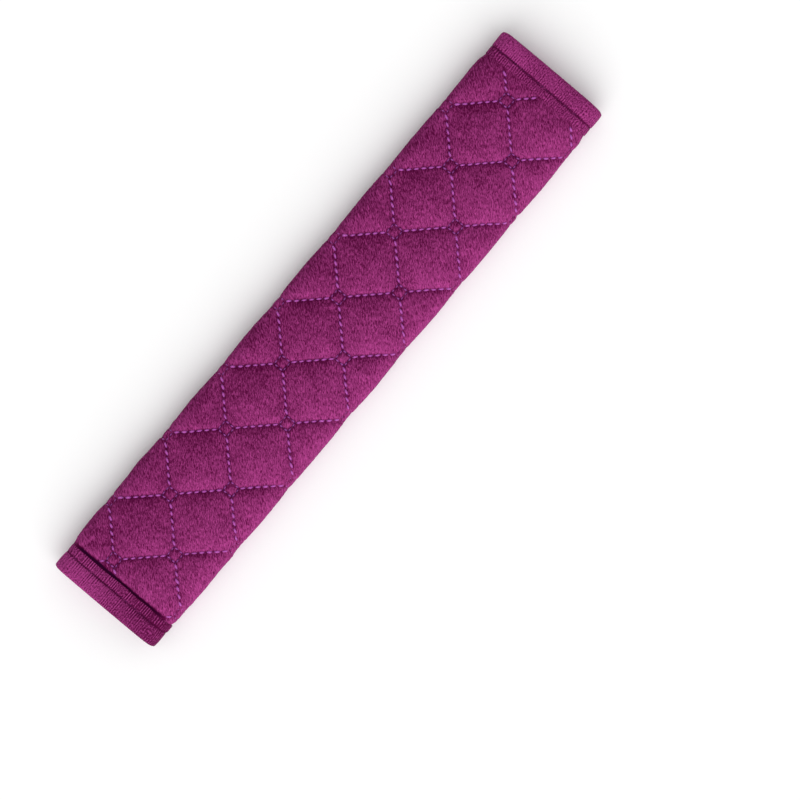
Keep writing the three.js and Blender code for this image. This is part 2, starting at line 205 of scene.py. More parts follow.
def lean(around, along):
    """How far the pattern is carried round the section at that height. It fades out towards the
    back, where the tapes and the strip's edges are straight."""
    return LEAN * along * front_share(around)


def cell_place(across, along):
    """Distances from the middle of the nearest cell. A cell's middle is half a pitch, an odd
    number of times in all, from a crossing. Where the nearest point of the square grid is a
    crossing, the neighbour on the nearer side is taken."""
    p = (across - COLUMN_X) / HALF_PITCH
    q = (along - ROW_Y) / HALF_PITCH
    column, row = np.round(p), np.round(q)
    at_crossing = (column + row) % 2 == 0
    sideways = np.abs(p - column) > np.abs(q - row)
    column = column + np.where(at_crossing & sideways, np.sign(p - column), 0)
    row = row + np.where(at_crossing & ~sideways, np.sign(q - row), 0)
    return (p - column) * HALF_PITCH, (q - row) * HALF_PITCH


def stitch_distance(across, along):
    """Distance to the nearest seam: the least of that to the cell's diagonal and to its short
    sides. It counts up again inside a little square."""
    dx, dy = cell_place(across, along)
    to_line = (HALF_PITCH - np.abs(dx) - np.abs(dy)) / np.sqrt(2)
    to_square = HALF_PITCH - SQUARE - np.maximum(np.abs(dx), np.abs(dy))
    return np.abs(np.minimum(to_line, to_square))


# %% [markdown]
# ## Stuffing the quilt
#
# Real quilting gets its shape from cloth that is held down along the stitches and pushed up by
# wadding between them. Blender's Cloth does the same here: a flat grid is pinned along every
# stitch line, given a little spare cloth and lifted by an upward pull. The grid's lines pass
# exactly through the pattern, so the pins are exact. It is worked ten times larger than life,
# where Cloth is steadier, and only the shape is kept.

# %% The simulated quilt
FRAMES = 22
LIFT = 14.0         # the upward pull, in metres per second squared
SPARE = 0.045       # spare cloth, as a share of its length
WORKING_SCALE = 10
HELD_EDGE = 1.5     # the width of cloth held along each long edge


def sewn_points(across, along):
    """True where the cloth is held: stitch lines, little squares, the tapes' seams and zone, the
    edges and all that lies under the end bindings."""
    dx, dy = cell_place(across, along)
    on_line = np.abs(np.abs(dx) + np.abs(dy) - HALF_PITCH) < STEP / 4
    in_square = np.maximum(np.abs(dx), np.abs(dy)) > HALF_PITCH - SQUARE + STEP / 4
    on_side = np.abs(np.maximum(np.abs(dx), np.abs(dy)) - (HALF_PITCH - SQUARE)) < STEP / 4
    on_side = on_side & (np.minimum(np.abs(dx), np.abs(dy)) < SQUARE + STEP / 4)
    held = (on_line & ~in_square) | on_side
    for seam in TAPE_SEAMS:
        held |= np.abs(across - seam) < STEP * 0.6
    held |= (across < LOOP_START) | (across < UNDER_EDGE + HELD_EDGE) | (across > OVER_EDGE - HELD_EDGE)
    return held | (np.abs(along) > BINDING_EDGE)


def grid_faces(rows, columns):
    """Four-sided faces of a grid whose points are numbered row by row."""
    first = np.arange((rows - 1) * columns).reshape(rows - 1, columns)[:, :-1].ravel()
    return np.stack([first, first + columns, first + columns + 1, first + 1], axis=1)


def grid_axis(low, high, start, step):
    """Places from low to high, in steps counted from start."""
    return start + step * np.arange(np.ceil((low - start) / step), np.floor((high - start) / step) + 1)


def new_object(name, data):
    """An object with that data, put into the scene."""
    made = bpy.data.objects.new(name, data)
    bpy.context.collection.objects.link(made)
    return made


def lifted_cloth(across, along):
    """Runs Cloth on the pinned grid and gives how far each point moved, in millimetres."""
    points = np.stack(np.meshgrid(across, along, [0.0], indexing="ij"), axis=-1).reshape(-1, 3)
    mesh = bpy.data.meshes.new("flat_quilt")
    faces = grid_faces(len(across), len(along))
    mesh.from_pydata((points * MM * WORKING_SCALE).tolist(), [], faces.tolist())
    cloth_object = new_object("flat_quilt", mesh)
    held = cloth_object.vertex_groups.new(name="held")
    held.add(np.flatnonzero(sewn_points(points[:, 0], points[:, 1])).tolist(), 1.0, "REPLACE")
    cloth = cloth_object.modifiers.new("cloth", "CLOTH")
    cloth.settings.quality = 6
    cloth.settings.mass = 0.25
    cloth.settings.tension_stiffness = 12
    cloth.settings.compression_stiffness = 12
    cloth.settings.shear_stiffness = 4
    cloth.settings.bending_stiffness = 1.5
    cloth.settings.vertex_group_mass = "held"
    cloth.settings.shrink_min = -SPARE
    cloth.point_cache.frame_start = 1
    cloth.point_cache.frame_end = FRAMES
    scene = bpy.context.scene
    scene.gravity = (0, 0, LIFT)
    for number in range(1, FRAMES + 1):
        scene.frame_set(number)
    result = cloth_object.evaluated_get(bpy.context.evaluated_depsgraph_get()).to_mesh()
    moved = np.empty(len(points) * 3)
    result.vertices.foreach_get("co", moved)
    moved = moved.reshape(-1, 3) / (MM * WORKING_SCALE) - points
    scene.frame_set(1)
    bpy.data.objects.remove(cloth_object)
    bpy.data.meshes.remove(mesh)
    return moved.reshape(len(across), len(along), 3)


cloth_across = grid_axis(UNDER_EDGE, OVER_EDGE, COLUMN_X, STEP)
cloth_along = grid_axis(-PAD_END + 1, PAD_END - 1, ROW_Y, STEP)
make_puffs = lifted_cloth
puffs = make_puffs(cloth_across, cloth_along)
print("quilt grid", puffs.shape, "highest puff", puffs[..., 2].max().round(2))

# %% [markdown]
# The simulated cloth is coarser than the surface that the render needs. A smooth curve through
# four neighbours in each direction fills in between its points.


# %% Filling in between the grid's points
def curve_weights(share):
    """Weights of four neighbours for a Catmull-Rom curve, at a share of the middle gap."""
    return np.stack([
        -0.5 * share + share**2 - 0.5 * share**3,
        1 - 2.5 * share**2 + 1.5 * share**3,
        0.5 * share + 2 * share**2 - 1.5 * share**3,
        -0.5 * share**2 + 0.5 * share**3,
    ])


def sample_axis(values, axis_places, places):
    """values along their first axis, read at places between axis_places."""
    position = (places - axis_places[0]) / (axis_places[1] - axis_places[0])
    position = np.clip(position, 0, len(axis_places) - 1.001)
    base = np.floor(position).astype(int)
    weights = curve_weights(position - base)
    picked = [values[np.clip(base + offset, 0, len(axis_places) - 1)] for offset in (-1, 0, 1, 2)]
    shape = (-1,) + (1,) * (values.ndim - 1)
    return sum(weight.reshape(shape) * value for weight, value in zip(weights, picked))


def sample_puffs(across, along):
    """The simulated moves read on a grid of other places."""
    half = sample_axis(puffs, cloth_across, across)
    return sample_axis(half.swapaxes(0, 1), cloth_along, along).swapaxes(0, 1)


# %% [markdown]
# ## The plush surface
#
# The surface is the simulated one, set to the real height of a puff, with what the simulation is
# too coarse to give: the narrow groove that the thread pulls into the pile, a dimple at each
# needle hole, short folds that run out from the seams, and the uneven lie of the pile. Along the
# two folds the cloth is stretched, so its puffs are nearly flat there and it draws in towards the
# bindings. On the front a gap opens before the lip of the bottom binding.

# %% The plush cover's surface
FINE = HALF_PITCH / 24
STITCH_COUNT = 6    # stitches from one little square to the next
STITCH_PITCH = (HALF_PITCH - 2 * SQUARE) * np.sqrt(2) / STITCH_COUNT
COVER_END = PAD_END - 1.1
SIDE_HEIGHT = 5.0   # the cover's height over the lining along the folds
SIDE_STRETCH = 0.8  # how nearly it is stretched flat there
SIDE_DRAW = 1.2     # how much lower it is next to a binding, and over what width
DRAW_WIDTH = 3.2
TURN = 0.9          # how far the turned edges stand out past the quilted cloth
BACK_FILL = 1.6     # how soon the weight on the back flattens a puff
GROOVE_WIDTH = 0.9  # the groove along a seam
GROOVE_DEPTH = 0.5
DIMPLE_DEPTH = 0.25  # how much deeper and shallower the needle holes make it
GAP_DEPTH = 1.6     # the gap before the bottom binding's lip
GAP_WIDTH = 0.85
FOLD_RELIEF = 0.16  # short folds near the seams
UNEVEN_RELIEF = 0.1  # slow unevenness
PILE_RELIEF = 0.045  # single tufts


def smooth_noise(rng, shape, size):
    """Random values smoothed by averaging: a coarse random grid filled in with the same curve
    as the cloth. size is the number of points from one random value to the next."""
    count = [int(np.ceil(n / s)) + 3 for n, s in zip(shape, size)]
    rough = rng.standard_normal(count)
    places = [np.arange(n) / s for n, s in zip(shape, size)]
    half = sample_axis(rough, np.arange(count[0]), places[0] + 1)
    return sample_axis(half.T, np.arange(count[1]), places[1] + 1).T


def seam_place(across, along):
    """Distance along the nearest line of stitching, counted from the cell's corner."""
    dx, dy = cell_place(across, along)
    return np.abs(dx) * np.sqrt(2) - SQUARE * np.sqrt(2)


def cover_height(across, along, rise, rng):
    """Height over the lining. The puffs' rise is scaled to the front's or the back's, pressed
    flat on the back and pulled nearly level along the folds. Grooves and the gap are bell curves
    of the distance to them, dimples a cosine along the seam, and the rest smoothed noise."""
    p, q = np.meshgrid(across, along, indexing="ij")
    share = front_share(p)
    distance = stitch_distance(p, q)
    full = rise / np.percentile(rise, 99.5)
    front = (FRONT_PUFF - THIN) * full
    back = (BACK_PUFF - THIN) * np.tanh(BACK_FILL * full)
    height = THIN + share * front + (1 - share) * back
    free = np.clip((BINDING_EDGE - np.abs(q)) / 3, 0, 1) * np.clip((p - LOOP_START) / 3, 0, 1)
    to_binding = BINDING_EDGE - np.abs(q)
    drawn = np.exp(-((np.maximum(to_binding, 0) / DRAW_WIDTH) ** 2))
    stretched = side_share(p) * (SIDE_STRETCH + (1 - SIDE_STRETCH) * drawn)
    stretched *= np.clip((to_binding + 0.7) / 0.9, 0, 1)
    height += stretched * (SIDE_HEIGHT - SIDE_DRAW * drawn - height)
    wave = np.cos(2 * np.pi * seam_place(p, q) / STITCH_PITCH)
    groove = np.exp(-(distance / GROOVE_WIDTH) ** 2) * (1 - 0.6 * stretched)
    height -= free * groove * (GROOVE_DEPTH + DIMPLE_DEPTH * wave)
    gap = np.exp(-((q + BINDING_EDGE - 0.9) / GAP_WIDTH) ** 2) * share * (1 - side_share(p))
    height -= GAP_DEPTH * gap
    folds = smooth_noise(rng, p.shape, (3.2, 3.2)) * np.exp(-distance / 4)
    uneven = smooth_noise(rng, p.shape, (9, 9))
    pile = smooth_noise(rng, p.shape, (1.1, 1.1))
    return height + free * share * (FOLD_RELIEF * folds + UNEVEN_RELIEF * uneven + PILE_RELIEF * pile)


rng = np.random.default_rng(11)
fine_across = np.linspace(UNDER_EDGE + TURN, OVER_EDGE - TURN, int((OVER_EDGE - UNDER_EDGE) / FINE))
fine_along = np.linspace(-COVER_END, COVER_END, int(2 * COVER_END / FINE))
moves = sample_puffs(fine_across, fine_along)
plush_height = cover_height(fine_across, fine_along, np.maximum(moves[..., 2], 0), rng)
print("plush surface", plush_height.shape, "highest point", plush_height.max().round(2))


# %% [markdown]
# ## From arrays to meshes
#
# Every piece keeps its unfolded place as an attribute of its points. The materials read it, so a
# weave or the lie of a pile follows the cloth round the folds.


# %% Meshes from arrays
def new_piece(name, points, faces, flat):
    """A mesh object from points in millimetres and their places on the unfolded cloth. The
    third of these places is free, and each material says what it reads there."""
    mesh = bpy.data.meshes.new(name)
    mesh.from_pydata((np.reshape(points, (-1, 3)) * MM).tolist(), [], [tuple(f) for f in faces])
    attribute = mesh.attributes.new("flat", "FLOAT_VECTOR", "POINT")
    attribute.data.foreach_set("vector", (np.reshape(flat, (-1, 3)) * MM).astype(np.float32).ravel())
    mesh.polygons.foreach_set("use_smooth", [True] * len(mesh.polygons))
    mesh.update()
    piece = new_object(name, mesh)
    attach(piece, "root")
    print(f"{name}: {len(mesh.vertices)} points, {len(mesh.polygons)} faces")
    return piece


def thin_body(name, across, along, low, high):
    """A closed thin sheet: one folded grid at height high, one at height low, and a wall round
    their rim. The rim is walked once round, and each wall face joins a step of it on both."""
    p, q = np.meshgrid(across, along, indexing="ij")
    place = p + lean(p, q)
    points = np.stack([fold(place, q, high + 0 * p), fold(place, q, low + 0 * p)])
    flat = np.stack([np.stack([p, q, 0 * p], axis=-1)] * 2)
    rows, columns = p.shape
    number = np.arange(rows * columns).reshape(rows, columns)
    rim = np.concatenate([number[:-1, 0], number[-1, :-1], number[:0:-1, -1], number[0, :0:-1]])
    onward = np.roll(rim, -1)
    top = grid_faces(rows, columns)
    walls = np.stack([rim + number.size, onward + number.size, onward, rim], axis=1)
    faces = np.concatenate([top, top[:, ::-1] + number.size, walls])
    return new_piece(name, points, faces, flat)


# %% [markdown]
# ## The cover as a closed body
#
# The plush turns round both long edges and lies against the lining, so the cover is one closed
# body: the quilted outside, a rounded turn at each edge, and a plain inside. The inside can't be
# seen behind the lining, so it has only one face from end to end for each step round the section.

# %% The plush cover and its filling
INSIDE = LINING + 0.15
TURN_STEPS = 5
SLOPE_SHADING = 0.52     # painted light that a slope of one in one towards the lamp adds to the pile; one away from it gets painted shade
SEAM_SHADE = 0.42    # how much darker the pile is painted along a seam, as the groove's shade
SHADE_WIDTH = 0.75
GAP_SHADE = 3.0      # how many times darker than a seam the gap at the binding is painted, as its shade
RIGHT_LIGHT = 0.13   # how much lighter the right half and the right fold are painted, as light on the side facing the lamp
FOLD_LIGHT = 0.16


def pile_light_and_shade():
    """Painted light and shade on the pile, as a tone, with a little of the pile's own lie. The pile is
    brushed towards the lower right, where the lamp is, so the slopes that fall that way are painted
    lighter and those that rise darker: the pile lies flat on the one and stands up on the other, and
    the lamp lights the one and not the other. The slope is the change of height from point to point.
    Seams and the gap before the bottom binding are painted dark as shade, and the right half and the
    right fold, which face the lamp, are painted lighter."""
    step = fine_across[1] - fine_across[0]
    smooth = plush_height.copy()
    for axis in (0, 1):
        smooth = (np.roll(smooth, 1, axis) + 2 * smooth + np.roll(smooth, -1, axis)) / 4
    by_p, by_q = np.gradient(smooth, step)
    # Painted light and shade: slopes falling towards the lamp at the lower right are lighter, rising ones
    # darker.
    falling = (by_q - by_p) / np.sqrt(2)
    p, q = np.meshgrid(fine_across, fine_along, indexing="ij")
    # Painted shade along the seams, where the groove lies in shade.
    painted_shade = np.exp(-(stitch_distance(p, q) / SHADE_WIDTH) ** 2) * (1 - 0.8 * side_share(p))
    # Painted shade in the gap before the bottom binding's lip.
    gap = np.exp(-((q + BINDING_EDGE - 0.8) / 0.9) ** 2) * front_share(p) * (1 - side_share(p))
    painted_shade = np.maximum(painted_shade, GAP_SHADE * gap)
    # Painted light: the right half and the right fold, which face the lamp, are lighter.
    rightward = np.clip((p - MIDDLE_X) / HALF_WIDTH, -1.2, 1.2) * front_share(p)
    lit = RIGHT_LIGHT * rightward + FOLD_LIGHT * side_share(p) * (p > MIDDLE_X)
    return SLOPE_SHADING * np.clip(falling, -0.6, 1) + lit - SEAM_SHADE * painted_shade


def turned_edge(edge, side):
    """A quarter ellipse at each point of a long edge, from the outside's height down to the
    inside's, TURN wide."""
    angle = np.linspace(0, np.pi / 2, TURN_STEPS + 1)[1:, None]
    height = INSIDE + (plush_height[edge][None, :] - INSIDE) * np.cos(angle)
    around = fine_across[edge] + side * TURN * np.sin(angle) + 0 * height
    return np.stack([around, fine_along[None, :] + 0 * height, height], axis=-1)


def cover_piece():
    """The outside grid with its turned edges, the inside strips between the two ends, and the
    end walls. The first and last inside strips share the turned edges' last rows."""
    p, q = np.meshgrid(fine_across, fine_along, indexing="ij")
    shift = moves[..., 0] * front_share(p) + lean(p, q)
    outside = np.stack([p + shift, q + moves[..., 1], plush_height], axis=-1)
    placed = np.concatenate([turned_edge(0, -1)[::-1], outside, turned_edge(-1, 1)])
    turns = [turned_edge(edge, side) * [1, 1, 0] for edge, side in ((0, -1), (-1, 1))]
    # The third part of the flat place carries the pile's painted light and shade.
    flat = np.concatenate([turns[0][::-1], np.stack([p, q, pile_light_and_shade() / MM], axis=-1), turns[1]])
    rows, columns = placed.shape[:2]
    number = np.arange(rows * columns).reshape(rows, columns)
    inside = placed[1:-1, [0, -1]] * [1, 1, 0] + [0, 0, INSIDE]
    inner = number.size + np.arange(2 * (rows - 2)).reshape(rows - 2, 2)
    near = np.concatenate([number[:1, 0], inner[:, 0], number[-1:, 0]])
    far = np.concatenate([number[:1, -1], inner[:, 1], number[-1:, -1]])
    strips = np.stack([near[:-1], far[:-1], far[1:], near[1:]], axis=1)[1:-1]
    walls = [np.stack([number[1:, 0], number[:-1, 0], near[:-1], near[1:]], axis=1)[1:-1],
             np.stack([number[:-1, -1], number[1:, -1], far[1:], far[:-1]], axis=1)[1:-1]]
    faces = [tuple(f) for f in np.concatenate([grid_faces(rows, columns), strips] + walls)]
    faces += [(number[1, 0], number[0, 0], near[1]), (number[-1, 0], number[-2, 0], near[-2]),
              (number[0, -1], number[1, -1], far[1]), (number[-2, -1], number[-1, -1], far[-2])]
    faces += [tuple(number[0]) + (far[1], near[1]), tuple(number[-1][::-1]) + (near[-2], far[-2])]
    placed = np.concatenate([placed.reshape(-1, 3), inside.reshape(-1, 3)])
    flat = np.concatenate([flat.reshape(-1, 3), inside.reshape(-1, 3) * [1, 1, 0]])
    return new_piece("quilted_cover", fold(*placed.T), faces, flat)


cover = cover_piece()
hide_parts("plush_cover", "wadding")


# %% [markdown]
# ## The lining
#
# A thin smooth knit lines the sleeve, so the webbing slides through it. The quilting pulls it in
# a little along every seam.

# %% The lining
LINING_MARGIN = 2.4  # how far inside the strip's long edges it ends
LINING_STEP = HALF_PITCH / 9
LINING_THICK = 0.4
LINING_PULL = 0.14  # how far a seam pulls it in, and over what width
PULL_WIDTH = 1.6


def lining_piece():
    """A thin closed sheet whose heights rise along the seams, towards the cover, by a bell curve
    of the distance to the seam."""
    count = int((OVER_EDGE - UNDER_EDGE - 2 * LINING_MARGIN) / LINING_STEP)
    across = np.linspace(UNDER_EDGE + LINING_MARGIN, OVER_EDGE - LINING_MARGIN, count)
    along = np.linspace(-COVER_END, COVER_END, int(2 * COVER_END / LINING_STEP))
    p, q = np.meshgrid(across, along, indexing="ij")
    inner = 0.02 + LINING_PULL * np.exp(-(stitch_distance(p, q) / PULL_WIDTH) ** 2)
    return thin_body("sleeve_lining", across, along, inner, inner + LINING_THICK)


lining = lining_piece()
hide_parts("lining")


# %% [markdown]
# ## The end bindings
#
# A ribbed knitted tape is wrapped round each raw end and sewn through once. Between the seam and
# the end it stands up in a soft roll. Past the seam its free edge lies on the quilting as a thin
# lip. Its ribs run along the pad, and the seam puckers it.

# %% The bindings
RIB_PITCH = 1.2
SEAM_IN = 9.5       # from the pad's end to the binding's seam
BINDING_STATION = RIB_PITCH / 5
RIB_RELIEF = 0.3    # how high a rib stands for each unit of its tone
PUCKER = 0.16       # how high the puckers stand
GROOVE_SHADE = 0.9   # how much darker the seam's groove is painted, as its shade, and the lip past it
LIP_TONE = 0.2
# Each point of the tape's section: distance in from the pad's end over the binding's width,
# height over the lining, and how much of the ribs' relief it shows.
TAPE_SECTION = np.array([
    (1.00, 2.85, 0), (1.00, 3.02, 0.6), (0.98, 3.22, 1), (0.92, 3.36, 1), (0.86, 3.44, 1),
    (0.80, 3.48, 1), (0.74, 3.46, 1), (0.71, 3.30, 1), (0.69, 2.96, 0.7), (0.67, 2.78, 0.2),
    (0.65, 2.98, 0.7), (0.62, 3.55, 1), (0.58, 3.90, 1), (0.53, 4.14, 1), (0.47, 4.30, 0.8),
    (0.40, 4.40, 0.65), (0.33, 4.45, 0.55), (0.26, 4.44, 0.5), (0.20, 4.38, 0.5), (0.14, 4.22, 0.5),
    (0.09, 3.96, 0.5), (0.055, 3.62, 0.5), (0.025, 3.08, 0.5), (0.008, 2.40, 0.5), (0.000, 1.55, 0.5),
    (0.008, 0.65, 0.5), (0.03, -0.10, 0.5), (0.07, -0.50, 0.5), (0.13, -0.70, 0.5), (0.30, -0.74, 0.6),
    (0.45, -0.74, 0.6), (0.60, -0.74, 0.6), (0.75, -0.72, 1), (0.83, -0.62, 1), (0.845, -0.40, 0.5),
    (0.835, -0.16, 0), (0.60, -0.10, 0), (0.30, -0.10, 0), (0.09, -0.08, 0), (0.065, 0.40, 0),
    (0.060, 1.50, 0), (0.075, 2.30, 0), (0.12, 2.74, 0), (0.50, 2.76, 0),
])


def binding_piece(name, side, band_light, rib_tone, rng):
    """The tape's section carried round the strip. On the back the roll is pressed down. Ribs are
    a sine of the distance round, added along the section's outward normal. Slow random waves
    move the lip's edge, and quicker ones pucker both sides of the seam. The third argument is
    how much lighter the knit is painted towards the right, painted light for how the lamp falls
    across the band, and rib_tone how strongly its ribs show, in relief and in the painted shade
    of their valleys. The seam's groove is painted dark as shade, the lip past it a little darker,
    and the knit a little lighter where the same broad waves raise the roll, as painted light."""
    stations = np.arange(UNDER_EDGE, OVER_EDGE, BINDING_STATION)[:, None]
    inward, height, ribbed = TAPE_SECTION.T[:, None, :]
    inward = inward * BINDING_WIDTH
    flat_share = front_share(stations)
    height = np.where(height > 3.0, 3.0 + (height - 3.0) * (0.4 + 0.6 * flat_share), height)
    upper = (height > 2.5) & (ribbed > 0) & (inward > 0.05)
    height = height + 0.8 * side_share(stations) * upper * (4.2 - height)
    slow = smooth_noise(rng, (len(stations), 2), (34, 1))[:, :1]
    quick = smooth_noise(rng, (len(stations), 2), (11, 1))[:, :1]
    broad = smooth_noise(rng, (len(stations), inward.shape[1]), (45, 10))
    inward = inward + 0.25 * slow * np.clip((inward - SEAM_IN) / 4, 0, 1)
    near_seam = np.exp(-((inward - SEAM_IN) / 2.4) ** 2) * (height > 2.9)
    height = height + PUCKER * (quick * near_seam + broad * (height > 3.2)) * flat_share
    step_in = np.roll(inward, -1, axis=1) - np.roll(inward, 1, axis=1)
    step_up = np.roll(height, -1, axis=1) - np.roll(height, 1, axis=1)
    length = np.hypot(step_in, step_up)
    wander = smooth_noise(rng, (len(stations), 2), (28, 1))[:, :1]
    uneven = 0.75 + 0.6 * smooth_noise(rng, (len(stations), inward.shape[1]), (6, 4))
    ribs = np.cos(2 * np.pi * stations / RIB_PITCH + 1.3 * wander) * ribbed * uneven
    relief = RIB_RELIEF * rib_tone * ribs
    inward = np.maximum(0, inward + relief * step_up / length)
    height = height - relief * step_in / length
    along = side * (PAD_END - inward)
    points = fold(stations + 0 * inward, along, height)
    walked = np.cumsum(np.hypot(np.diff(inward, axis=1, prepend=inward[:, :1]),
                                np.diff(height, axis=1, prepend=height[:, :1])), axis=1)
    groove = np.exp(-((inward - SEAM_IN) / 0.4) ** 2)
    across_front = np.clip((stations - MIDDLE_X) / HALF_WIDTH, -1, 1) * flat_share
    # Painted light and shade: graded across the band, darker in the ribs' valleys, lighter on raised
    # waves.
    tone = band_light * across_front + rib_tone * ribs + 0.08 * broad
    # Painted shade in the seam's groove; the lip past it is a little darker.
    tone = tone - GROOVE_SHADE * groove - LIP_TONE * (inward > SEAM_IN + 0.4)
    flat = np.stack([stations + 0 * inward, walked, tone / MM], axis=-1)
    count, ring = inward.shape
    number = np.arange(count * ring).reshape(count, ring)
    beside = np.roll(number, -1, axis=1)
    faces = np.stack([number[:-1], number[1:], beside[1:], beside[:-1]], axis=-1).reshape(-1, 4)
    faces = [tuple(f[::side]) for f in faces] + [tuple(number[0][::side]), tuple(number[-1][::-side])]
    piece = new_piece(name, points, faces, flat)
    return piece


binding_top = binding_piece("top_binding", 1, 0.06, 0.34, rng)
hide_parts("binding_top")
binding_bottom = binding_piece("bottom_binding", -1, -0.32, 0.55, rng)
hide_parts("binding_bottom")


# %% [markdown]
# ## The hook and loop tapes
#
# Both tapes are woven strips. The hook tape is sewn inside the outer flap and the loop tape on
# the outside of the inner flap, so they face each other when the sleeve is closed.

# %% The closing tapes
def tape_piece(name, across_low, low, high, rng):
    """A thin closed strip with a slightly uneven face and thin woven edges. Its thickness is
    full in the middle and falls off over the last millimetre at each side."""
    across = np.linspace(across_low, across_low + TAPE_WIDTH, 33)
    along = np.linspace(-TAPE_END, TAPE_END, 313)
    p, q = np.meshgrid(across, along, indexing="ij")
    to_side = np.minimum(p - across_low, across_low + TAPE_WIDTH - p)
    full = np.clip(0.45 + 0.55 * to_side / 1.2, 0, 1)
    uneven = 0.05 * smooth_noise(rng, p.shape, (1.5, 2.0)) * (to_side > 1)
    away = np.sign(high - low)
    surface = low + (high - low) * full - away * np.abs(uneven)
    return thin_body(name, across, along, np.minimum(low, surface), np.maximum(low, surface))


hook_tape = tape_piece("hook_strip", TAPE_MIDDLE - TAPE_WIDTH / 2, -0.05, -1.25, rng)
loop_tape = tape_piece("loop_strip", LOOP_START - TAPE_WIDTH, 2.75, 3.95, rng)
for piece, node, under in ((hook_tape, "hook_tape", "sleeve_lining"),
                           (loop_tape, "loop_tape", "quilted_cover")):
    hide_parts(node)


# %% [markdown]
# ## The stitches
#
# The quilting is sewn in a thick violet thread with long stitches. Each stitch lies on the plush
# like a small drop: it comes up from one needle hole, bulges over the pile and dives into the
# next hole, and its ends are painted dark, as the shade of the hole. The little squares are sewn
# tighter, so their stitches lie deeper and look thin, and they are painted darker, as shade. The
# bindings' seams are sunk in their groove, in thread painted darker as the groove's shade.

# %% Sewing
STITCH_RADIUS = 0.52
STITCH_RINGS = 6
STITCH_SIDES = 6
CREST = 0.6         # how high a stitch's middle stands, in its radii
DIVE = 1.05         # how far its ends go down from there
FLATTENED = 0.8     # its height over its width
FALLING_TWIST = 0.34  # how far the twist turns it
RISING_TWIST = 0.12
THIN_SHADE = 1.2        # how much more painted shade a thin stitch gets, for each share it is thinner
TAPE_STITCH = 3.2   # the tapes' and the bindings' stitches are shorter
BINDING_STITCH = 2.9


def read_grid(values, p, q):
    """values on the fine grid, read between its points by the weights of the four round each."""
    i = np.clip((p - fine_across[0]) / (fine_across[1] - fine_across[0]), 0, len(fine_across) - 1.001)
    j = np.clip((q - fine_along[0]) / (fine_along[1] - fine_along[0]), 0, len(fine_along) - 1.001)
    a, b = np.floor(i).astype(int), np.floor(j).astype(int)
    u, v = i - a, j - b
    low = values[a, b] * (1 - v) + values[a, b + 1] * v
    high = values[a + 1, b] * (1 - v) + values[a + 1, b + 1] * v
    return low * (1 - u) + high * u


def split_lines(starts, ends, count):
    """Each line cut into count equal stitches, given as their two ends."""
    share = np.arange(count + 1)[:, None, None] / count
    marks = starts + (ends - starts) * share
    return marks[:-1].reshape(-1, 2), marks[1:].reshape(-1, 2)


def sewn(name, starts, ends, surface, radius, rng, visible=(0.82, 0.96)):
    """One small body for each stitch. Its middle line runs from hole to hole and rises with one
    minus the square of the share of the way. Its thickness is a flattened ellipse, thinning to
    the ends. surface gives the cloth's height at a place. The thread's twist turns each stitch
    a little out of the seam, most on the seams that fall to the right. visible is the share of
    a stitch that shows between its holes. The third part of its place is painted shade: it grows
    towards the stitch's ends, where it dives into a hole, and on thinner stitches."""
    share = np.linspace(-1, 1, STITCH_RINGS)[None, :, None]
    turn = 2 * np.pi * np.arange(STITCH_SIDES)[None, None, :] / STITCH_SIDES
    count = len(starts)
    direction = (ends - starts) / np.linalg.norm(ends - starts, axis=1, keepdims=True)
    falls = direction[:, 0] * direction[:, 1] < 0
    slant = (rng.normal(0, 0.07, count) + np.where(falls, FALLING_TWIST, RISING_TWIST))[:, None]
    direction = direction + slant * np.stack([-direction[:, 1], direction[:, 0]], axis=1)
    half = np.linalg.norm(ends - starts, axis=1)[:, None] / 2 * rng.uniform(*visible, (count, 1))
    middle = (starts + ends) / 2
    thick = radius * rng.uniform(0.88, 1.12, (count, 1, 1)) * np.sqrt(1.04 - share**2)
    line = middle[:, None, :] + direction[:, None, :] * half[:, None, :] * share
    base = surface(line[..., 0], line[..., 1])
    sunk = 0.5 * side_share(line[..., 0, None])
    height = base[..., None] - sunk + radius * (CREST - DIVE * share**2)
    height = height + FLATTENED * thick * np.sin(turn)
    side = np.cos(turn) * thick
    p = line[..., 0, None] - direction[:, 1, None, None] * side
    q = line[..., 1, None] + direction[:, 0, None, None] * side
    points = fold(p + lean(p, q), q, height)
    phase = rng.uniform(0, 20, (count, 1, 1))
    # Painted shade: dark at the ends, where the stitch dives into its hole, and on thin stitches.
    depth = share**2 + THIN_SHADE * (1 - radius / np.max(radius))
    flat = (share * half[:, None], turn * radius + phase, depth / MM)
    flat = np.stack(np.broadcast_arrays(*flat), axis=-1)
    number = np.arange(p.size).reshape(p.shape)
    beside = np.roll(number, -1, axis=2)
    walls = np.stack([number[:, :-1], number[:, 1:], beside[:, 1:], beside[:, :-1]], axis=-1)
    faces = [tuple(f[::-1]) for f in walls.reshape(-1, 4)]
    faces += [tuple(f) for f in number[:, 0]] + [tuple(f[::-1]) for f in number[:, -1]]
    piece = new_piece(name, points, faces, flat)
    return piece


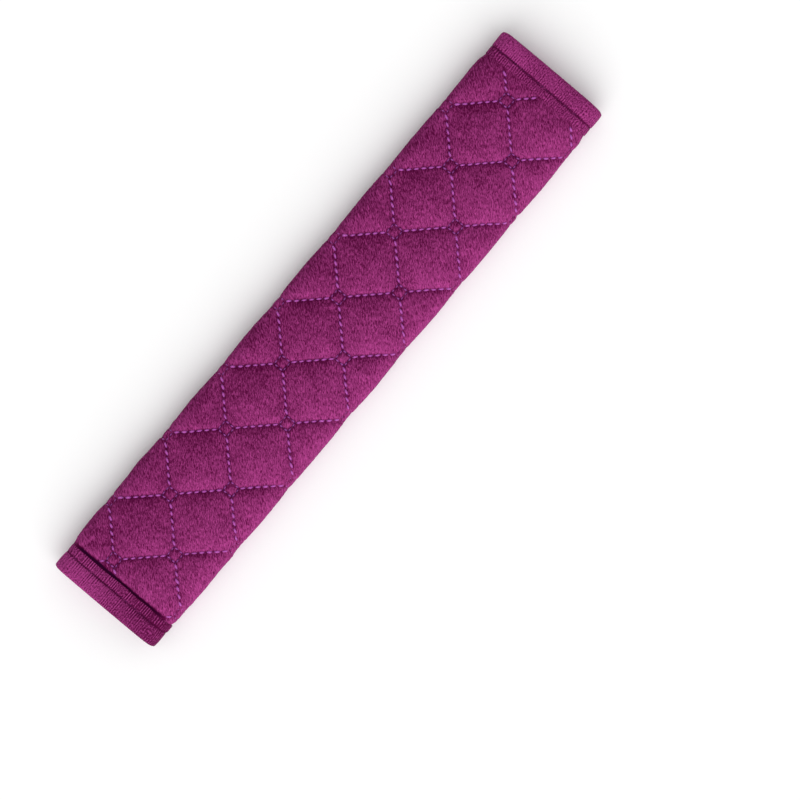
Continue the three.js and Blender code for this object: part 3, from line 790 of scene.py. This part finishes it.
def quilting_lines():
    """The stitches of every diagonal and of every little square's four sides, and how thick each
    looks. The little squares' sides sink deeper, so they look thinner."""
    i, j = np.meshgrid(np.arange(-5, 7), np.arange(-17, 3), indexing="ij")
    chosen = (i + j) % 2 == 0
    crossing = np.stack([COLUMN_X + i[chosen] * HALF_PITCH, ROW_Y + j[chosen] * HALF_PITCH], axis=-1)
    corner = SQUARE * np.array([(-1, -1), (1, -1), (1, 1), (-1, 1)])
    sides = [split_lines(crossing + a, crossing + b, 2)
             for a, b in zip(corner, np.roll(corner, -1, axis=0))]
    reach = HALF_PITCH - SQUARE
    diagonals = [split_lines(crossing + SQUARE * way, crossing + reach * way, STITCH_COUNT)
                 for way in (np.array([1, 1]), np.array([-1, 1]))]
    starts = np.concatenate([pair[0] for pair in sides + diagonals])
    ends = np.concatenate([pair[1] for pair in sides + diagonals])
    middle = (starts + ends) / 2
    shown = np.abs(middle[:, 1]) < BINDING_EDGE - 1.2
    shown &= (middle[:, 0] > LOOP_START + 1) & (middle[:, 0] < OVER_EDGE - 2.5)
    level = np.abs(ends[:, 1] - starts[:, 1]) < 0.01
    upright = np.abs(ends[:, 0] - starts[:, 0]) < 0.01
    radius = np.where(upright, 0.66, np.where(level, 0.74, 1.0)) * STITCH_RADIUS
    return starts[shown], ends[shown], radius[shown, None, None]


def row_of_stitches(start, end, pitch):
    """A straight seam's stitches."""
    count = int(np.hypot(*np.subtract(end, start)) / pitch)
    return split_lines(np.array([start], float), np.array([end], float), count)


def on_plush(p, q):
    """The plush surface's height."""
    return read_grid(plush_height, p, q)


def in_groove(p, q):
    """The height of the bindings' groove."""
    return 2.55 + 0.75 * side_share(p)


starts, ends, radius = quilting_lines()
quilting = sewn("quilting_stitches", starts, ends, on_plush, radius, rng)
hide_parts(*[f"quilting_thread_{number}" for number in range(1, 6)])

for number, seam in enumerate(TAPE_SEAMS, 1):
    pairs = row_of_stitches((seam, -TAPE_END + 1), (seam, TAPE_END - 1), TAPE_STITCH)
    tape_seam = sewn(f"tape_stitches_{number}", *pairs, on_plush, 0.38, rng)
    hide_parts(f"tape_seam_{number}")

for word, side in (("top", 1), ("bottom", -1)):
    seam = side * (PAD_END - SEAM_IN)
    pairs = row_of_stitches((UNDER_EDGE + 2, seam), (OVER_EDGE - 2, seam), BINDING_STITCH)
    binding_seam = sewn(f"{word}_binding_stitches", *pairs, in_groove, 0.3, rng, (0.85, 0.95))
    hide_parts(f"binding_seam_{word}")


# %% [markdown]
# ## Materials
#
# Colours are written as in a picture editor, and one function turns them linear. Patterns are
# scaled in real millimetres on the unfolded cloth.

# %% Material helpers
def linear(colour):
    """An sRGB hex colour as linear red, green, blue and alpha."""
    parts = np.array([int(colour[i:i + 2], 16) for i in (1, 3, 5)]) / 255
    low = parts / 12.92
    high = ((parts + 0.055) / 1.055) ** 2.4
    return (*np.where(parts <= 0.04045, low, high).tolist(), 1.0)


def add_node(tree, kind, inputs=None, **settings):
    """Adds a node, sets its settings, and sets or links its inputs."""
    node = tree.nodes.new(kind)
    for name, value in settings.items():
        setattr(node, name, value)
    for key, value in (inputs or {}).items():
        if isinstance(value, bpy.types.NodeSocket):
            tree.links.new(value, node.inputs[key])
        else:
            node.inputs[key].default_value = value
    return node


def new_material(name):
    """An empty material, its nodes, and the unfolded place, whole and in its three parts."""
    material = bpy.data.materials.new(name)
    material.use_nodes = True
    tree = material.node_tree
    tree.nodes.clear()
    place = add_node(tree, "ShaderNodeAttribute", attribute_name="flat").outputs["Vector"]
    return material, tree, place, add_node(tree, "ShaderNodeSeparateXYZ", {0: place}).outputs


def scaled(tree, place, per_x, per_y, turn=0.0):
    """The place turned about the cloth's normal and divided by a pattern's sizes in
    millimetres."""
    turned = add_node(tree, "ShaderNodeVectorRotate", {"Vector": place, "Angle": turn},
                      rotation_type="Z_AXIS").outputs[0]
    size = (1 / (per_x * MM), 1 / (per_y * MM), 1 / MM)
    return add_node(tree, "ShaderNodeVectorMath", {0: turned, 1: size}, operation="MULTIPLY").outputs[0]


def noise(tree, place, detail=2.0, rough=0.5, wavy=0.0):
    """Smooth random values from 0 to 1, one blob in each unit."""
    inputs = {"Vector": place, "Scale": 1.0, "Detail": detail, "Roughness": rough, "Distortion": wavy}
    return add_node(tree, "ShaderNodeTexNoise", inputs).outputs["Fac"]


def stretch(tree, value, low, high, to_low=0.0, to_high=1.0):
    """value carried from low..high to to_low..to_high, and held there."""
    inputs = {0: value, 1: low, 2: high, 3: to_low, 4: to_high}
    return add_node(tree, "ShaderNodeMapRange", inputs).outputs[0]


def maths(tree, operation, first, second):
    """One sum, product or sine of values."""
    return add_node(tree, "ShaderNodeMath", {0: first, 1: second}, operation=operation).outputs[0]


def blend_colours(tree, share, first, second):
    """A colour between two, by share. A Mix node's colours go in at 6 and 7 and come out at 2."""
    inputs = {0: share, 6: first, 7: second}
    return add_node(tree, "ShaderNodeMix", inputs, data_type="RGBA").outputs[2]


def finish_material(tree, colour, height, depth, **values):
    """The surface itself: a bump of that depth in millimetres, and uniform shader values."""
    bump = add_node(tree, "ShaderNodeBump", {"Height": height, "Strength": 1.0, "Distance": depth * MM})
    inputs = {"Base Color": colour, "Normal": bump.outputs[0]}
    inputs.update({key.replace("_", " "): value for key, value in values.items()})
    shader = add_node(tree, "ShaderNodeBsdfPrincipled", inputs)
    add_node(tree, "ShaderNodeOutputMaterial", {"Surface": shader.outputs[0]})


# %% The materials
def plush_material():
    """Short cut pile that leans one way: fine streaks along its lean, darker between tufts, and
    a pinkish sheen where the light grazes it. The third part of the place is the painted light and
    shade of the pile's slopes, seams, gap and right side; where it is lowest, in the seams and the
    gap, the colour goes to a near black painted shade."""
    material, tree, place, parts = new_material("short_plush")
    level = add_node(tree, "ShaderNodeCombineXYZ", {0: parts[0], 1: parts[1]}).outputs[0]
    streaks = noise(tree, scaled(tree, level, 1.7, 0.43, np.pi / 4), 1.0, 0.5, 0.8)
    tufts = noise(tree, scaled(tree, level, 0.8, 0.28, np.pi / 4), 1.0)
    patches = noise(tree, scaled(tree, level, 8, 6), 2.0)
    pile = maths(tree, "ADD", maths(tree, "MULTIPLY", streaks, 0.7), maths(tree, "MULTIPLY", tufts, 0.3))
    fine = stretch(tree, pile, 0.3, 0.7, -0.62, 0.62)
    broad = stretch(tree, patches, 0.3, 0.7, -0.08, 0.08)
    tone = maths(tree, "ADD", maths(tree, "ADD", fine, broad), maths(tree, "ADD", parts[2], 0.355))
    pile_colour = blend_colours(tree, stretch(tree, tone, 0, 1), linear("#58053a"), linear("#b4448e"))
    # Where the painted shade is deepest the colour blends to a near black, as shade.
    deep = stretch(tree, parts[2], -1.1, -0.5)
    colour = blend_colours(tree, deep, linear("#360430"), pile_colour)
    finish_material(tree, colour, pile, 0.5, Roughness=0.95, Specular_IOR_Level=0.05,
                    Sheen_Weight=0.04, Sheen_Roughness=0.4, Sheen_Tint=linear("#e070c0"))
    return material


def binding_material():
    """Ribbed knit: small loops in columns. The third part of the place is painted light and shade:
    the valleys between the ribs and the seam's groove darker, as shade, and each band graded
    across its width for how the lamp falls on it."""
    material, tree, place, parts = new_material("ribbed_knit")
    level = add_node(tree, "ShaderNodeCombineXYZ", {0: parts[0], 1: parts[1]}).outputs[0]
    loops = noise(tree, scaled(tree, level, 0.5, 1.0), 1.0)
    fuzz = noise(tree, scaled(tree, level, 0.25, 1.2), 2.0)
    knit = stretch(tree, loops, 0.3, 0.7, -0.5, 0.5)
    tone = maths(tree, "ADD", knit, maths(tree, "ADD", parts[2], 0.47))
    colour = blend_colours(tree, stretch(tree, tone, 0, 1), linear("#540238"), linear("#aa3e86"))
    height = maths(tree, "ADD", maths(tree, "MULTIPLY", loops, 0.6), maths(tree, "MULTIPLY", fuzz, 0.4))
    finish_material(tree, colour, height, 0.25, Roughness=0.85, Specular_IOR_Level=0.08,
                    Sheen_Weight=0.03, Sheen_Roughness=0.4, Sheen_Tint=linear("#e070c0"))
    return material


def thread_material(name, hole, dark, light, shine):
    """Polyester sewing thread: plies laid slantwise, with a soft shine that makes each stitch
    stand out from the pile. The third part of the place is painted shade: nought in a stitch's
    middle and one at its ends, where it takes the colour of the hole that it dives into as a
    painted shade. Thin stitches get more of it."""
    material, tree, place, parts = new_material(name)
    slant = maths(tree, "ADD", maths(tree, "MULTIPLY", parts[0], 2 * np.pi / (0.7 * MM)),
                  maths(tree, "MULTIPLY", parts[1], 2 * np.pi / (0.8 * MM)))
    plies = stretch(tree, maths(tree, "SINE", slant, 0.0), -1, 1)
    uneven = noise(tree, scaled(tree, place, 0.8, 0.8), 1.0)
    tone = maths(tree, "ADD", maths(tree, "MULTIPLY", plies, 0.4), maths(tree, "MULTIPLY", uneven, 0.6))
    colour = blend_colours(tree, stretch(tree, tone, 0.2, 0.8), linear(dark), linear(light))
    colour = blend_colours(tree, stretch(tree, parts[2], 0.15, 0.85), colour, linear(hole))
    finish_material(tree, colour, plies, 0.12, Roughness=0.45, Specular_IOR_Level=shine)
    return material


def woven_material(name, dark, light, pitch, depth, gloss):
    """A fine woven or knitted cloth: two crossed waves, one yarn pitch long, and a little
    unevenness between yarns."""
    material, tree, place, parts = new_material(name)
    across = maths(tree, "SINE", maths(tree, "MULTIPLY", parts[0], 2 * np.pi / (pitch * MM)), 0.0)
    along = maths(tree, "SINE", maths(tree, "MULTIPLY", parts[1], 2 * np.pi / (pitch * 1.3 * MM)), 0.0)
    weave = stretch(tree, maths(tree, "MULTIPLY", across, along), -1, 1)
    uneven = noise(tree, scaled(tree, place, 2.5 * pitch, 2.5 * pitch), 2.0)
    tone = maths(tree, "ADD", maths(tree, "MULTIPLY", weave, 0.5), maths(tree, "MULTIPLY", uneven, 0.5))
    colour = blend_colours(tree, stretch(tree, tone, 0.25, 0.75), linear(dark), linear(light))
    finish_material(tree, colour, weave, depth, Roughness=gloss, Specular_IOR_Level=0.35,
                    Sheen_Weight=0.15, Sheen_Roughness=0.4)
    return material


tape_seams = [o for o in bpy.data.objects if "tape_stitches" in o.name]
binding_seams = [o for o in bpy.data.objects if "binding_stitches" in o.name]
wearing = [
    (plush_material(), [cover]),
    (binding_material(), [binding_top, binding_bottom]),
    (thread_material("polyester_thread", "#4a0c58", "#862090", "#dc6ccc", 0.35), [quilting] + tape_seams),
    # The bindings' seams: the same thread in darker colours, painted as the shade of their groove.
    (thread_material("sunk_polyester_thread", "#3c0838", "#4a0c3e", "#701c60", 0.1), binding_seams),
    (woven_material("smooth_tricot", "#552447", "#713a62", 0.5, 0.06, 0.7), [lining]),
    (woven_material("nylon_tape", "#4a1d40", "#6c3560", 0.9, 0.2, 0.6), [hook_tape, loop_tape]),
]
for look, pieces in wearing:
    for piece in pieces:
        piece.data.materials.append(look)

# %% [markdown]
# ## Light, floor and camera
#
# The picture is a plain catalogue one: the pad lies on white, lit softly from its lower right,
# and is seen from straight above.

# %% The studio
KEY_RISE = np.radians(46)
KEY_LEVEL = 0.48    # the lamp's share of the light on the level floor
AMBIENT = 0.56      # the white surround's share
CAMERA_HEIGHT = 2.0  # in metres, like the two lines below
PICTURE_WIDTH = 0.391
PICTURE_MIDDLE = (0.0461, -0.0002)
PICTURE_TURN = np.arctan2(0.6442, 0.7649)


def studio():
    """A white floor, an even white surround and one soft sun-like lamp. On the level floor the
    two together give back a colour as it is written."""
    floor_mesh = bpy.data.meshes.new("floor")
    floor_mesh.from_pydata([(-3, -3, 0), (3, -3, 0), (3, 3, 0), (-3, 3, 0)], [], [(0, 1, 2, 3)])
    floor = new_object("floor", floor_mesh)
    paper = bpy.data.materials.new("white_paper")
    paper.use_nodes = True
    shader = paper.node_tree.nodes["Principled BSDF"]
    shader.inputs["Base Color"].default_value = linear("#ffffff")
    shader.inputs["Roughness"].default_value = 1.0
    shader.inputs["Specular IOR Level"].default_value = 0.0
    floor_mesh.materials.append(paper)
    world = bpy.data.worlds.new("white_room")
    bpy.context.scene.world = world
    world.use_nodes = True
    tree = world.node_tree
    seen = add_node(tree, "ShaderNodeLightPath").outputs["Is Camera Ray"]
    background = tree.nodes["Background"].inputs
    background["Color"].default_value = (1, 1, 1, 1)
    tree.links.new(stretch(tree, seen, 0, 1, AMBIENT, 1), background["Strength"])
    lamp = bpy.data.lights.new("key", "SUN")
    lamp.energy = KEY_LEVEL * np.pi / np.sin(KEY_RISE)
    lamp.angle = np.radians(75)
    key = new_object("key", lamp)
    key.rotation_euler = (np.pi / 2 - KEY_RISE, 0, np.radians(45))


def camera_above(distance, picture_width, over, turn):
    """A camera looking straight down at a point, turned about its axis."""
    data = bpy.data.cameras.new("camera")
    data.sensor_width = 36
    data.lens = 36 * distance / picture_width
    camera = new_object("camera", data)
    camera.location = (over[0], over[1], distance + 0.015)
    camera.rotation_euler = (0, 0, turn)
    bpy.context.scene.camera = camera


studio()
camera_above(CAMERA_HEIGHT, PICTURE_WIDTH, PICTURE_MIDDLE, PICTURE_TURN)
bpy.context.scene.view_settings.view_transform = "Standard"
